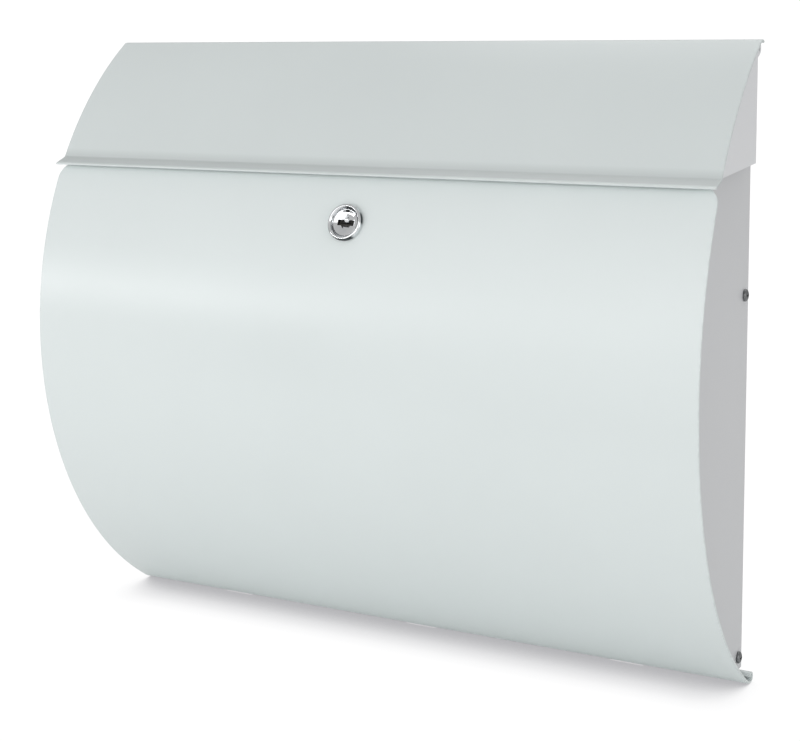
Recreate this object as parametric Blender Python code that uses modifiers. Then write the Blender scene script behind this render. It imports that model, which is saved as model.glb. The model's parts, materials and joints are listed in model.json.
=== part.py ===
"""A wall-mounted letter box in powder-coated sheet steel, modelled in metres.

The origin is on the back panel's rear face, level with the axis of the curved front. +Y runs into the
wall, so the front faces -Y, +X is the right-hand side as the postman sees it, and +Z is up.
The front is one cylinder about an axis along X. A lid covers the letter slot at the top, and a door
below it drops open about its bottom edge. Both hang on rolled knuckles round a steel rod.
"""

import math

import bmesh
import bpy
from mathutils import Matrix, Vector

MM = 0.001

# Driving dimensions
SHEET = 1.0 * MM  # thickness of every steel sheet
GAP = 0.3 * MM  # between pieces that touch
FRONT_WIDTH = 370.0 * MM  # lid and door
BODY_WIDTH = 357.6 * MM  # across the side panels
FRONT_RADIUS = 190.0 * MM  # outer face of lid and door
FRONT_AXIS_Y = 98.0 * MM  # axis of that cylinder, behind the wall face
LID_TOP = 159.0 * MM
DOOR_TOP = 95.5 * MM
DOOR_BOTTOM = -158.6 * MM

# Sheet and knuckle details
MID_RADIUS = FRONT_RADIUS - SHEET / 2
CURL_RADIUS = 2.1 * MM  # middle of the rolled sheet
CURL_OUTER = CURL_RADIUS + SHEET / 2
ROD_RADIUS = 1.25 * MM
ROD_LENGTH = 366.4 * MM
ARC_STEP = math.radians(2.5)
BEND_STEP = math.radians(15.0)
KNUCKLE_WIDTH = 16.0 * MM
KNUCKLE_RISE = 5.2 * MM
KNUCKLE_ROLL = math.radians(290.0)
KNUCKLE_PLACES = (-120.0 * MM, 0.0, 120.0 * MM)
NOTCH_WIDTH = KNUCKLE_WIDTH + 2.0 * MM
NOTCH_DEPTH = 3.2 * MM  # in front of a rod's axis

# Lid
LID_BEND = 4.2 * MM  # outer face of the rounded top, about the rod
LID_EDGE_ANGLE = math.radians(50.0)  # where the rounded top ends, above level and facing the wall
LIP_ROOT_Z = 98.6 * MM
LIP_TIP = (-71.8 * MM, 95.8 * MM)
LIP_BEND = 2.5 * MM
CHEEK_OUTER_X = 183.3 * MM
CHEEK_FOOT = (98.8 * MM, 101.2 * MM)  # lower edge at its front and rear ends
CHEEK_REAR_Y = -6.8 * MM  # below the lobe round the rod
CHEEK_LOBE_END = math.radians(-55.0)
CHEEK_HOLE = ROD_RADIUS + 0.08 * MM
CHEEK_TAB_LENGTH = 6.5 * MM
CHEEK_TAB_WIDTH = math.radians(3.4)
CHEEK_TAB_ANGLES = (math.radians(37.0), math.radians(47.0))

# Door
DOOR_BEND = 3.0 * MM
DOOR_TOP_CORNER = 9.5 * MM  # radius in the flat sheet, from the top bend down
CORNER_STEP = math.radians(0.4)
DOOR_FLANGE_END_Y = -50.0 * MM
DOOR_CORNER_Z = -157.6 * MM
DOOR_CORNER_BEND = 2.0 * MM
DOOR_CORNER_RUN = 2.5 * MM  # left of the arc for the corner's bend
DOOR_CURL = math.radians(262.0)
WALL_CLEARANCE = 0.5 * MM
STOP_ARM_RADIUS = 60.0 * MM
STOP_ARM_WIDTH = 10.0 * MM
STOP_ARM_X = 172.0 * MM
STOP_ARM_THICKNESS = 1.5 * MM
STOP_ARM_FOOT = 9.0 * MM
STOP_HOOK_WIDTH = 3.0 * MM
STOP_STUD_RADIUS = 2.0 * MM
STOP_STUD_NECK = 1.5 * MM
STOP_STUD_ANGLE = math.radians(46.0)
DOOR_TRAVEL = math.radians(40.0)

# Body
BACK_WIDTH = BODY_WIDTH - 2 * (SHEET + GAP)
BACK_TOP = 149.0 * MM
BACK_BOTTOM = -151.0 * MM
BACK_FLANGE = 13.0 * MM
BACK_FLANGE_ENDS = (-150.2 * MM, 146.0 * MM)
SIDE_TOP = 148.0 * MM
SIDE_BOTTOM = -152.6 * MM
SIDE_REAR_Y = -0.3 * MM
SIDE_DOOR_GAP = 1.0 * MM
SIDE_LID_GAP = 1.8 * MM
SIDE_NOTCH = (91.0 * MM, 97.0 * MM)  # clears the door's top bend
SIDE_NOTCH_Y = -60.5 * MM
WALL_HOLE_X = 140.0 * MM
WALL_HOLES_Z = (-110.0 * MM, 110.0 * MM)
WALL_HOLE_RADIUS = 3.0 * MM
KEYHOLE_RADIUS = 5.5 * MM
KEYHOLE_DROP = 9.0 * MM
SCREW_Y = -6.5 * MM
SCREW_HEIGHTS = {"upper": 37.6 * MM, "lower": -145.5 * MM}
SCREW_HEAD_RADIUS = 3.0 * MM
SCREW_HEAD_HEIGHT = 1.7 * MM
SCREW_SHANK_RADIUS = 1.4 * MM
SCREW_LENGTH = 6.5 * MM
SCREW_POINT = 1.2 * MM
SCREW_RIM = 0.4 * MM
SCREW_RECESS = (3.2 * MM, 0.8 * MM)  # length and width of each bar of the cross

# Lock, along its own axis: depth runs inwards from the door's outer face
LOCK_Z = 72.8 * MM
BEZEL_RADIUS = 9.3 * MM
BARREL_RADIUS = 8.1 * MM
BARREL_BORE = 6.9 * MM
BARREL_LENGTH = 20.0 * MM
PLUG_RADIUS = 6.5 * MM
PLUG_TAIL = 6.0 * MM
CAM_THICKNESS = 2.0 * MM
CAM_LENGTH = 24.0 * MM
CAM_WIDTH = 14.0 * MM
CAM_CORNER = 3.0 * MM
CAM_DEPTH = BARREL_LENGTH + 0.4 * MM
NUT_WIDTH = 20.0 * MM
NUT_THICKNESS = 3.0 * MM
NUT_DEPTH = 1.7 * MM

# Sill below the letter slot: its front strip stands parallel to the lock's face
SILL_WIDTH = BACK_WIDTH - 0.6 * MM
SILL_STRIP_DEPTH = 17.5 * MM
SILL_STRIP = (15.0 * MM, 26.3 * MM)  # from lock axis to the strip's lower and upper edge
SILL_LEDGE_END = (-32.0 * MM, 89.0 * MM)
SILL_TAB = (0.3, 0.8)  # its place along the ledge
SILL_TAB_DROP = 12.0 * MM
SILL_BEND = 1.5 * MM

WHITE = ("powder_white", (0.80, 0.83, 0.82), 0.42, 0.0)
ZINC = ("zinc_steel", (0.55, 0.56, 0.58), 0.38, 1.0)
CHROME = ("chrome", (0.82, 0.84, 0.86), 0.08, 1.0)
DARK_STEEL = ("dark_screw", (0.20, 0.21, 0.22), 0.45, 1.0)


def clear_scene():
    for obj in list(bpy.data.objects):
        bpy.data.objects.remove(obj)


def collection(name):
    made = bpy.data.collections.new(name)
    bpy.context.scene.collection.children.link(made)
    return made


def material(spec):
    name, colour, roughness, metallic = spec
    found = bpy.data.materials.get(name)
    if found:
        return found
    made = bpy.data.materials.new(name)
    made.use_nodes = True
    shader = made.node_tree.nodes["Principled BSDF"]
    shader.inputs["Base Color"].default_value = (*colour, 1.0)
    shader.inputs["Roughness"].default_value = roughness
    shader.inputs["Metallic"].default_value = metallic
    return made


def add_object(name, mesh, spec, where=None):
    obj = bpy.data.objects.new(name, mesh)
    (where or PARTS).objects.link(obj)
    if spec:
        mesh.materials.append(material(spec))
    return obj


def smooth(mesh, angle=math.radians(35.0)):
    mesh.shade_smooth()
    mesh.set_sharp_from_angle(angle=angle)


# Outlines in the YZ plane, as lists of (y, z)


def on_front(radius, angle):
    """A point of the front's cylinder. The angle is measured upwards from straight ahead."""
    return (FRONT_AXIS_Y - radius * math.cos(angle), radius * math.sin(angle))


def front_angle(radius, z):
    return math.asin(z / radius)


def front_arc(radius, start, end, step=ARC_STEP):
    steps = max(1, math.ceil(abs(end - start) / step))
    return [on_front(radius, start + (end - start) * i / steps) for i in range(steps + 1)]


def circle_arc(centre, radius, start, end):
    """Points on a small bend. Angles run from +Y towards +Z."""
    steps = max(1, math.ceil(abs(end - start) / BEND_STEP))
    angles = [start + (end - start) * i / steps for i in range(steps + 1)]
    return [(centre[0] + radius * math.cos(a), centre[1] + radius * math.sin(a)) for a in angles]


def rounded_corner(before, corner, after, radius):
    """The bend that replaces a sharp corner between two straight runs."""
    a = (Vector(before) - Vector(corner)).normalized()
    b = (Vector(after) - Vector(corner)).normalized()
    half = a.angle(b) / 2
    centre = Vector(corner) + (a + b).normalized() * (radius / math.sin(half))
    start = Vector(corner) + a * (radius / math.tan(half)) - centre
    end = Vector(corner) + b * (radius / math.tan(half)) - centre
    first = math.atan2(start.y, start.x)
    turn = math.atan2(start.x * end.y - start.y * end.x, start.dot(end))
    return circle_arc(tuple(centre), radius, first, first + turn)


# Axes of the two rods. The lid's rounded top is struck about its rod and meets the front's cylinder.
LID_AXIS_ANGLE = front_angle(FRONT_RADIUS - LID_BEND, LID_TOP - LID_BEND)
LID_AXIS = on_front(FRONT_RADIUS - LID_BEND, LID_AXIS_ANGLE)
DOOR_AXIS = (-CURL_OUTER - WALL_CLEARANCE, DOOR_BOTTOM + CURL_OUTER)


# Shapes


def bent_sheet(name, path, width, spec, centre_x=0.0, thickness=SHEET, insets=None):
    """A sheet bent along a path in the YZ plane: an open surface across X with Solidify.

    The insets, one for each point of the path, draw both edges in.
    """
    shape = bmesh.new()
    insets = insets or [0.0] * len(path)
    left = centre_x - width / 2
    points = [shape.verts.new((left + inset, y, z)) for (y, z), inset in zip(path, insets)]
    edges = [shape.edges.new(pair) for pair in zip(points, points[1:])]
    swept = bmesh.ops.extrude_edge_only(shape, edges=edges)
    for vert in swept["geom"]:
        if isinstance(vert, bmesh.types.BMVert):
            vert.co.x = 2 * centre_x - vert.co.x
    mesh = bpy.data.meshes.new(name)
    shape.to_mesh(mesh)
    shape.free()
    smooth(mesh)
    obj = add_object(name, mesh, spec)
    solidify = obj.modifiers.new("thickness", "SOLIDIFY")
    solidify.thickness = thickness
    solidify.offset = 0.0
    solidify.use_even_offset = True
    return obj


def flat_plate(name, outline, x_centre, thickness, spec, where=None):
    """A flat plate across X: a filled 2D outline in the YZ plane, made a mesh so that it can be cut."""
    curve = bpy.data.curves.new(name, "CURVE")
    curve.dimensions = "2D"
    curve.fill_mode = "BOTH"
    curve.extrude = thickness / 2
    spline = curve.splines.new("POLY")
    spline.points.add(len(outline) - 1)
    for point, (y, z) in zip(spline.points, outline):
        point.co = (y, z, 0.0, 1.0)
    spline.use_cyclic_u = True
    source = bpy.data.objects.new(name + "_outline", curve)
    bpy.context.scene.collection.objects.link(source)
    bpy.context.view_layer.update()
    graph = bpy.context.evaluated_depsgraph_get()
    mesh = bpy.data.meshes.new_from_object(source.evaluated_get(graph))
    bpy.data.objects.remove(source)
    # The curve's x, y and z are the plate's y, z and x.
    mesh.transform(Matrix(((0, 0, 1, x_centre), (1, 0, 0, 0), (0, 1, 0, 0), (0, 0, 0, 1))))
    weld(mesh)
    mesh.name = name
    return add_object(name, mesh, spec, where)


def weld(mesh):
    """Joins the caps of a curve's mesh to its sides and turns its faces outwards."""
    shape = bmesh.new()
    shape.from_mesh(mesh)
    bmesh.ops.remove_doubles(shape, verts=shape.verts, dist=0.001 * MM)
    bmesh.ops.recalc_face_normals(shape, faces=shape.faces)
    shape.to_mesh(mesh)
    shape.free()


def box(name, low, high, spec=None, where=None):
    shape = bmesh.new()
    bmesh.ops.create_cube(shape, size=1.0)
    low, high = Vector(low), Vector(high)
    bmesh.ops.scale(shape, verts=shape.verts, vec=high - low)
    bmesh.ops.translate(shape, verts=shape.verts, vec=(low + high) / 2)
    mesh = bpy.data.meshes.new(name)
    shape.to_mesh(mesh)
    shape.free()
    return add_object(name, mesh, spec, where)


def cylinder(name, radius, start, end, spec=None, where=None, sides=24):
    """A round bar between two points."""
    start, end = Vector(start), Vector(end)
    shape = bmesh.new()
    bmesh.ops.create_cone(
        shape,
        cap_ends=True,
        segments=sides,
        radius1=radius,
        radius2=radius,
        depth=(end - start).length,
    )
    mesh = bpy.data.meshes.new(name)
    shape.to_mesh(mesh)
    shape.free()
    smooth(mesh)
    obj = add_object(name, mesh, spec, where)
    obj.rotation_euler = (end - start).to_track_quat("Z", "Y").to_euler()
    obj.location = (start + end) / 2
    return obj


def turned(name, profile, spec, parent=None, steps=32):
    """A turned shape about the object's Z axis. The profile is (radius, height), outer side first."""
    mesh = bpy.data.meshes.new(name)
    mesh.from_pydata(
        [(r, 0.0, h) for r, h in profile],
        [(i, i + 1) for i in range(len(profile) - 1)],
        [],
    )
    obj = add_object(name, mesh, spec)
    screw = obj.modifiers.new("turn", "SCREW")
    screw.axis = "Z"
    screw.steps = screw.render_steps = steps
    screw.use_merge_vertices = True
    screw.merge_threshold = 0.00001
    screw.use_smooth_shade = True
    obj.parent = parent
    return obj


def boolean(obj, other, operation):
    modifier = obj.modifiers.new(other.name, "BOOLEAN")
    modifier.operation = operation
    modifier.object = other
    modifier.solver = "EXACT"
    other.hide_render = True
    other.display_type = "WIRE"


def join(obj, other):
    """Unites two sheets into one solid. The other object stays as a helper."""
    for owner in list(other.users_collection):
        owner.objects.unlink(other)
    CUTTERS.objects.link(other)
    boolean(obj, other, "UNION")


def rolled_knuckle(name, axis, rise, centre_x):
    """A tab of the back panel that leaves its plane and rolls clockwise round a rod.

    The rise is how far the rod's axis lies above the tab's bend. It is negative below the panel.
    """
    root = (-SHEET / 2, axis[1] - 1.8 * rise)
    bend = (-SHEET / 2, axis[1] - rise)
    # The straight run from the bend touches the rolled circle.
    to_bend = Vector(bend) - Vector(axis)
    touch = math.atan2(to_bend.y, to_bend.x) - math.acos(CURL_RADIUS / to_bend.length)
    roll = circle_arc(axis, CURL_RADIUS, touch, touch - KNUCKLE_ROLL)
    return bent_sheet(name, [root, bend] + roll, KNUCKLE_WIDTH, WHITE, centre_x)


# Body


def back_panel():
    half = BACK_WIDTH / 2
    panel = box("back_panel", (-half, -SHEET, BACK_BOTTOM), (half, 0.0, BACK_TOP), WHITE)
    for side in (-1, 1):
        outer, inner = sorted((side * half, side * (half - SHEET)))
        flange = box(
            f"back_flange_{side}",
            (outer, -BACK_FLANGE, BACK_FLANGE_ENDS[0]),
            (inner, -SHEET / 2, BACK_FLANGE_ENDS[1]),
            where=CUTTERS,
        )
        boolean(panel, flange, "UNION")
    for i, x in enumerate(KNUCKLE_PLACES):
        join(panel, rolled_knuckle(f"lid_knuckle_{i}", LID_AXIS, KNUCKLE_RISE, x))
        join(panel, rolled_knuckle(f"door_knuckle_{i}", DOOR_AXIS, -KNUCKLE_RISE, x))
    for side in (-1, 1):
        for row, z in enumerate(WALL_HOLES_Z):
            wall_hole(panel, f"wall_hole_{side}_{row}", side * WALL_HOLE_X, z, keyhole=row == 1)
        for place, z in SCREW_HEIGHTS.items():
            start = (side * (half - 3 * SHEET), SCREW_Y, z)
            end = (side * (half + 2 * SHEET), SCREW_Y, z)
            hole = cylinder(f"tapped_{place}_{side}", SCREW_SHANK_RADIUS + GAP, start, end, where=CUTTERS)
            boolean(panel, hole, "DIFFERENCE")
    return panel


def wall_hole(panel, name, x, z, keyhole):
    """A round hole for a wall screw. A keyhole also has a wider hole below, for the screw's head."""
    depth = 4 * SHEET
    hole = cylinder(name, WALL_HOLE_RADIUS, (x, -depth, z), (x, depth, z), where=CUTTERS)
    boolean(panel, hole, "DIFFERENCE")
    if not keyhole:
        return
    entry_z = z - KEYHOLE_DROP
    entry = cylinder(
        name + "_entry", KEYHOLE_RADIUS, (x, -depth, entry_z), (x, depth, entry_z), where=CUTTERS
    )
    slot = box(
        name + "_slot",
        (x - WALL_HOLE_RADIUS, -depth, entry_z),
        (x + WALL_HOLE_RADIUS, depth, z),
        where=CUTTERS,
    )
    boolean(panel, entry, "DIFFERENCE")
    boolean(panel, slot, "DIFFERENCE")


def side_outline():
    """A side panel's outline: the curved front edge lies inside the door below and the lid above."""
    door_edge = FRONT_RADIUS - SHEET - SIDE_DOOR_GAP
    lid_edge = FRONT_RADIUS - SHEET - SIDE_LID_GAP
    low, high = SIDE_NOTCH
    outline = [(SIDE_REAR_Y, SIDE_BOTTOM)]
    outline += front_arc(door_edge, front_angle(door_edge, SIDE_BOTTOM), front_angle(door_edge, low))
    outline += [(SIDE_NOTCH_Y, low), (SIDE_NOTCH_Y, high)]
    outline += front_arc(lid_edge, front_angle(lid_edge, high), front_angle(lid_edge, SIDE_TOP))
    outline += [(SIDE_REAR_Y, SIDE_TOP)]
    return outline


def side_panel(name, side):
    x = side * (BODY_WIDTH / 2 - SHEET / 2)
    panel = flat_plate(name, side_outline(), x, SHEET, WHITE)
    for place, z in SCREW_HEIGHTS.items():
        cut_across(panel, f"{name}_{place}", SCREW_SHANK_RADIUS + GAP, x, SCREW_Y, z)
    stud_y, stud_z = stop_stud_place()
    cut_across(panel, f"{name}_stud", STOP_STUD_NECK + GAP, x, stud_y, stud_z)
    return panel


def cut_across(panel, name, radius, x, y, z):
    reach = 3 * SHEET
    hole = cylinder(name, radius, (x - reach, y, z), (x + reach, y, z), where=CUTTERS)
    boolean(panel, hole, "DIFFERENCE")


def slot_sill():
    """The bent strip below the letter slot. Its front strip is what the lock's cam turns behind."""
    low = lock_point(SILL_STRIP_DEPTH, SILL_STRIP[0])
    corner = lock_point(SILL_STRIP_DEPTH, SILL_STRIP[1])
    path = [low] + rounded_corner(low, corner, SILL_LEDGE_END, SILL_BEND) + [SILL_LEDGE_END]
    sill = bent_sheet("slot_sill", path, SILL_WIDTH, WHITE)
    front, rear = (tuple(Vector(corner).lerp(Vector(SILL_LEDGE_END), share)) for share in SILL_TAB)
    low = rear[1] - SILL_TAB_DROP
    outline = [front, (front[0], low), (rear[0], low), rear]
    for side in (-1, 1):
        x = side * (SILL_WIDTH / 2 - SHEET / 2)
        tab = flat_plate(f"sill_tab_{side}", outline, x, SHEET, None, CUTTERS)
        boolean(sill, tab, "UNION")
    return sill


def pan_head_screw(name, side, z):
    """A self-tapping screw with a domed head and a cross recess."""
    x = side * BODY_WIDTH / 2
    holder = bpy.data.objects.new(name + "_axis", None)
    PARTS.objects.link(holder)
    holder.location = (x, SCREW_Y, z)
    holder.rotation_euler = Vector((side, 0, 0)).to_track_quat("Z", "Y").to_euler()
    bottom = GAP
    dome = [
        (
            SCREW_HEAD_RADIUS * math.cos(a),
            bottom + SCREW_RIM + (SCREW_HEAD_HEIGHT - SCREW_RIM) * math.sin(a),
        )
        for a in (math.radians(90 - 15 * i) for i in range(7))
    ]
    dome[0] = (0.0, bottom + SCREW_HEAD_HEIGHT)
    profile = dome + [
        (SCREW_HEAD_RADIUS, bottom),
        (SCREW_SHANK_RADIUS, bottom),
        (SCREW_SHANK_RADIUS, bottom - SCREW_LENGTH + SCREW_POINT),
        (0.0, bottom - SCREW_LENGTH),
    ]
    screw = turned(name, profile, DARK_STEEL, holder, steps=20)
    for i, (wide, tall) in enumerate((SCREW_RECESS, SCREW_RECESS[::-1])):
        recess = box(
            f"{name}_recess_{i}",
            (-wide / 2, -tall / 2, bottom + SCREW_HEAD_HEIGHT / 2),
            (wide / 2, tall / 2, bottom + 2 * SCREW_HEAD_HEIGHT),
            where=CUTTERS,
        )
        recess.parent = holder
        boolean(screw, recess, "DIFFERENCE")
    return screw


def hinge_rod(name, axis):
    half = ROD_LENGTH / 2
    return cylinder(name, ROD_RADIUS, (-half, *axis), (half, *axis), ZINC, sides=16)


def stop_stud_place():
    """Where a stop stud stands on its side panel, on the path of the door's stop arm."""
    reach = STOP_ARM_RADIUS + STOP_ARM_WIDTH / 2 + STOP_STUD_RADIUS + 0.5 * MM
    return (
        DOOR_AXIS[0] - reach * math.sin(STOP_STUD_ANGLE),
        DOOR_AXIS[1] + reach * math.cos(STOP_STUD_ANGLE),
    )


def stop_stud(name, side):
    """A shouldered stud riveted through the side panel. Its rivet end lies flush outside."""
    y, z = stop_stud_place()
    holder = bpy.data.objects.new(name + "_axis", None)
    PARTS.objects.link(holder)
    holder.location = (side * (BODY_WIDTH / 2 - SHEET), y, z)
    holder.rotation_euler = Vector((-side, 0, 0)).to_track_quat("Z", "Y").to_euler()
    tip = BODY_WIDTH / 2 - SHEET - (STOP_ARM_X - STOP_ARM_THICKNESS / 2) + 0.5 * MM
    profile = [
        (0.0, tip),
        (STOP_STUD_RADIUS - 0.4 * MM, tip),
        (STOP_STUD_RADIUS, tip - 0.4 * MM),
        (STOP_STUD_RADIUS, GAP),
        (STOP_STUD_NECK, GAP),
        (STOP_STUD_NECK, -SHEET),
        (0.0, -SHEET),
    ]
    return turned(name, profile, ZINC, holder, steps=16)


# Lid


def lid_panel():
    root = on_front(MID_RADIUS, front_angle(MID_RADIUS, LIP_ROOT_Z))
    start_angle = front_angle(MID_RADIUS, LIP_ROOT_Z + LIP_BEND)
    start = on_front(MID_RADIUS, start_angle)
    lip = [LIP_TIP] + rounded_corner(LIP_TIP, root, start, LIP_BEND)
    arc = front_arc(MID_RADIUS, start_angle, LID_AXIS_ANGLE)
    top = circle_arc(LID_AXIS, LID_BEND - SHEET / 2, math.pi - LID_AXIS_ANGLE, LID_EDGE_ANGLE)
    return bent_sheet("lid_panel", lip + arc[1:] + top[1:], FRONT_WIDTH, WHITE)


def lid_cheek(name, side):
    """A side of the lid, with two tabs bent inwards that are spot-welded under the lid's sheet."""
    edge = FRONT_RADIUS - SHEET - GAP
    lobe = LID_BEND - SHEET - GAP
    outline = front_arc(edge, front_angle(edge, CHEEK_FOOT[0]), LID_AXIS_ANGLE)
    lobe_arc = circle_arc(LID_AXIS, lobe, math.pi - LID_AXIS_ANGLE, CHEEK_LOBE_END)[1:]
    neck = (CHEEK_REAR_Y, lobe_arc[-1][1] - (lobe_arc[-1][0] - CHEEK_REAR_Y) / 2)
    outline += lobe_arc + [neck, (CHEEK_REAR_Y, CHEEK_FOOT[1])]
    x = side * (CHEEK_OUTER_X - SHEET / 2)
    cheek = flat_plate(name, outline, x, SHEET, WHITE)
    cut_across(cheek, name + "_rod", CHEEK_HOLE, x, *LID_AXIS)
    for i, angle in enumerate(CHEEK_TAB_ANGLES):
        path = front_arc(edge - SHEET / 2, angle, angle + CHEEK_TAB_WIDTH)
        tab = bent_sheet(
            f"{name}_tab_{i}",
            path,
            CHEEK_TAB_LENGTH,
            WHITE,
            side * (CHEEK_OUTER_X - SHEET / 2 - CHEEK_TAB_LENGTH / 2),
        )
        join(cheek, tab)
    return cheek


# Door


def bend_centre(outer_z):
    """Centre of the door's top bend, which touches the front's arc and the level flange."""
    z = outer_z - SHEET / 2 - DOOR_BEND
    angle = front_angle(MID_RADIUS - DOOR_BEND, z)
    return on_front(MID_RADIUS - DOOR_BEND, angle), angle


DOOR_BEND_CENTRE, DOOR_BEND_ANGLE = bend_centre(DOOR_TOP)


def top_corner_insets(path):
    """How far each point's row is drawn in to round the door's top corners."""
    insets = []
    along = 0.0
    for i, point in enumerate(path):
        if i > 1:
            along += (Vector(point) - Vector(path[i - 1])).length
        short = max(0.0, DOOR_TOP_CORNER - along)
        insets.append(DOOR_TOP_CORNER - math.sqrt(DOOR_TOP_CORNER**2 - short**2))
    return insets


def door_panel():
    flange_z = DOOR_TOP - SHEET / 2
    top = [(DOOR_FLANGE_END_Y, flange_z)]
    top += circle_arc(DOOR_BEND_CENTRE, DOOR_BEND, math.pi / 2, math.pi - DOOR_BEND_ANGLE)
    corner_angle = front_angle(MID_RADIUS, DOOR_CORNER_Z)
    corner = on_front(MID_RADIUS, corner_angle)
    last_angle = corner_angle + DOOR_CORNER_RUN / MID_RADIUS
    corner_end = DOOR_BEND_ANGLE - DOOR_TOP_CORNER / MID_RADIUS
    arc = front_arc(MID_RADIUS, DOOR_BEND_ANGLE, corner_end, CORNER_STEP)
    arc += front_arc(MID_RADIUS, corner_end, last_angle)[1:]
    # The flange runs from the corner to touch the underside of the rolled edge.
    to_corner = Vector(corner) - Vector(DOOR_AXIS)
    touch = math.atan2(to_corner.y, to_corner.x) + math.acos(CURL_RADIUS / to_corner.length)
    curl = circle_arc(DOOR_AXIS, CURL_RADIUS, touch, touch + DOOR_CURL)
    foot = rounded_corner(arc[-1], corner, curl[0], DOOR_CORNER_BEND)
    path = top + arc[1:] + foot + curl
    panel = bent_sheet("door_panel", path, FRONT_WIDTH, WHITE, insets=top_corner_insets(path))
    for i, x in enumerate(KNUCKLE_PLACES):
        low = (x - NOTCH_WIDTH / 2, DOOR_AXIS[0] - NOTCH_DEPTH, DOOR_AXIS[1] - 2 * CURL_OUTER)
        high = (x + NOTCH_WIDTH / 2, 2 * MM, DOOR_AXIS[1] + 2 * CURL_OUTER)
        boolean(panel, box(f"door_notch_{i}", low, high, where=CUTTERS), "DIFFERENCE")
    hole = lock_cylinder("lock_hole", BARREL_RADIUS + GAP, -3 * MM, 6 * MM)
    boolean(panel, hole, "DIFFERENCE")
    return panel


def door_radial(radius, angle):
    """A point at a radius from the door's rod. The angle leans forwards from straight up."""
    return (DOOR_AXIS[0] - radius * math.sin(angle), DOOR_AXIS[1] + radius * math.cos(angle))


def door_lean(radius):
    """How far forward a circle about the rod leans where it meets the inside of the door."""
    inner = FRONT_RADIUS - SHEET
    across = FRONT_AXIS_Y - DOOR_AXIS[0]
    up = -DOOR_AXIS[1]
    reach = math.hypot(across, up)
    share = (reach**2 + radius**2 - inner**2) / (2 * reach * radius)
    return math.acos(share) - math.atan2(across, up)


def stop_arm(name, side):
    """A curved arm about the rod, welded inside the door. The hook at its tail meets the stud."""
    inner, outer = STOP_ARM_RADIUS - STOP_ARM_WIDTH / 2, STOP_ARM_RADIUS + STOP_ARM_WIDTH / 2
    hook = outer + 2 * STOP_STUD_RADIUS
    clear = (STOP_STUD_RADIUS + 0.5 * MM) / (outer + STOP_STUD_RADIUS)
    hook_end = STOP_STUD_ANGLE - clear - DOOR_TRAVEL
    hook_width = STOP_HOOK_WIDTH / outer
    tail = hook_end - hook_width
    front = 0.6 * MM / outer
    step = math.radians(3.0)

    def run(radius, start, end):
        count = max(1, math.ceil(abs(end - start) / step))
        return [door_radial(radius, start + (end - start) * i / count) for i in range(count + 1)]

    outline = run(inner, tail, door_lean(inner) - front)
    outline += run(outer, door_lean(outer) - front, hook_end)
    outline += [door_radial(hook, hook_end), door_radial(hook, tail)]
    arm = flat_plate(name, outline, side * STOP_ARM_X, STOP_ARM_THICKNESS, ZINC)
    foot_angle = [front_angle(FRONT_RADIUS - SHEET, door_radial(r, door_lean(r))[1]) for r in (inner, outer)]
    low, high = min(foot_angle), max(foot_angle)
    foot = bent_sheet(
        name + "_foot",
        front_arc(FRONT_RADIUS - SHEET - GAP - STOP_ARM_THICKNESS / 2, low, high),
        STOP_ARM_FOOT,
        ZINC,
        side * (STOP_ARM_X + STOP_ARM_THICKNESS / 2 - STOP_ARM_FOOT / 2),
        thickness=STOP_ARM_THICKNESS,
    )
    join(arm, foot)
    return arm


# Lock


LOCK_ANGLE = front_angle(FRONT_RADIUS, LOCK_Z)
LOCK_FACE = on_front(FRONT_RADIUS, LOCK_ANGLE)


def lock_point(depth, up):
    """(y, z) of a point given by its depth along the lock's axis and its height across it."""
    y, z = on_front(FRONT_RADIUS - depth, LOCK_ANGLE)
    return (y + up * math.sin(LOCK_ANGLE), z + up * math.cos(LOCK_ANGLE))


def lock_cylinder(name, radius, start, end):
    """A round cutter along the lock's axis between two depths."""
    return cylinder(
        name, radius, (0.0, *lock_point(start, 0.0)), (0.0, *lock_point(end, 0.0)), where=CUTTERS, sides=32
    )


def lock_axis():
    """An empty on the door's face. Its Z axis runs out of the lock, and its Y axis points up."""
    holder = bpy.data.objects.new("lock_axis", None)
    PARTS.objects.link(holder)
    holder.location = (0.0, *LOCK_FACE)
    holder.rotation_euler = (math.pi / 2 - LOCK_ANGLE, 0.0, 0.0)
    return holder


def lock_barrel(axis):
    """The chromed head and threaded barrel, bored for the plug."""
    profile = [
        (BARREL_BORE, 2.3 * MM),
        (BARREL_BORE + 0.5 * MM, 2.7 * MM),
        (BARREL_BORE + 1.1 * MM, 2.7 * MM),
        (BEZEL_RADIUS - 0.7 * MM, 2.2 * MM),
        (BEZEL_RADIUS - 0.15 * MM, 1.5 * MM),
        (BEZEL_RADIUS, 0.8 * MM),
        (BEZEL_RADIUS, GAP),
        (BARREL_RADIUS, GAP),
        (BARREL_RADIUS, -BARREL_LENGTH),
        (BARREL_BORE, -BARREL_LENGTH),
        (BARREL_BORE, 2.3 * MM),
    ]
    return turned("lock_barrel", profile, CHROME, axis, steps=32)


def lock_nut(axis):
    """A hexagon nut with a round hole, drawn up behind the door."""
    low = -NUT_DEPTH - NUT_THICKNESS
    nut = prism("lock_nut", 6, NUT_WIDTH / math.sqrt(3), low, -NUT_DEPTH, ZINC, axis)
    bore = prism("nut_bore", 32, BARREL_RADIUS + GAP, low - SHEET, SHEET - NUT_DEPTH, None, axis, CUTTERS)
    boolean(nut, bore, "DIFFERENCE")
    return nut


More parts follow.
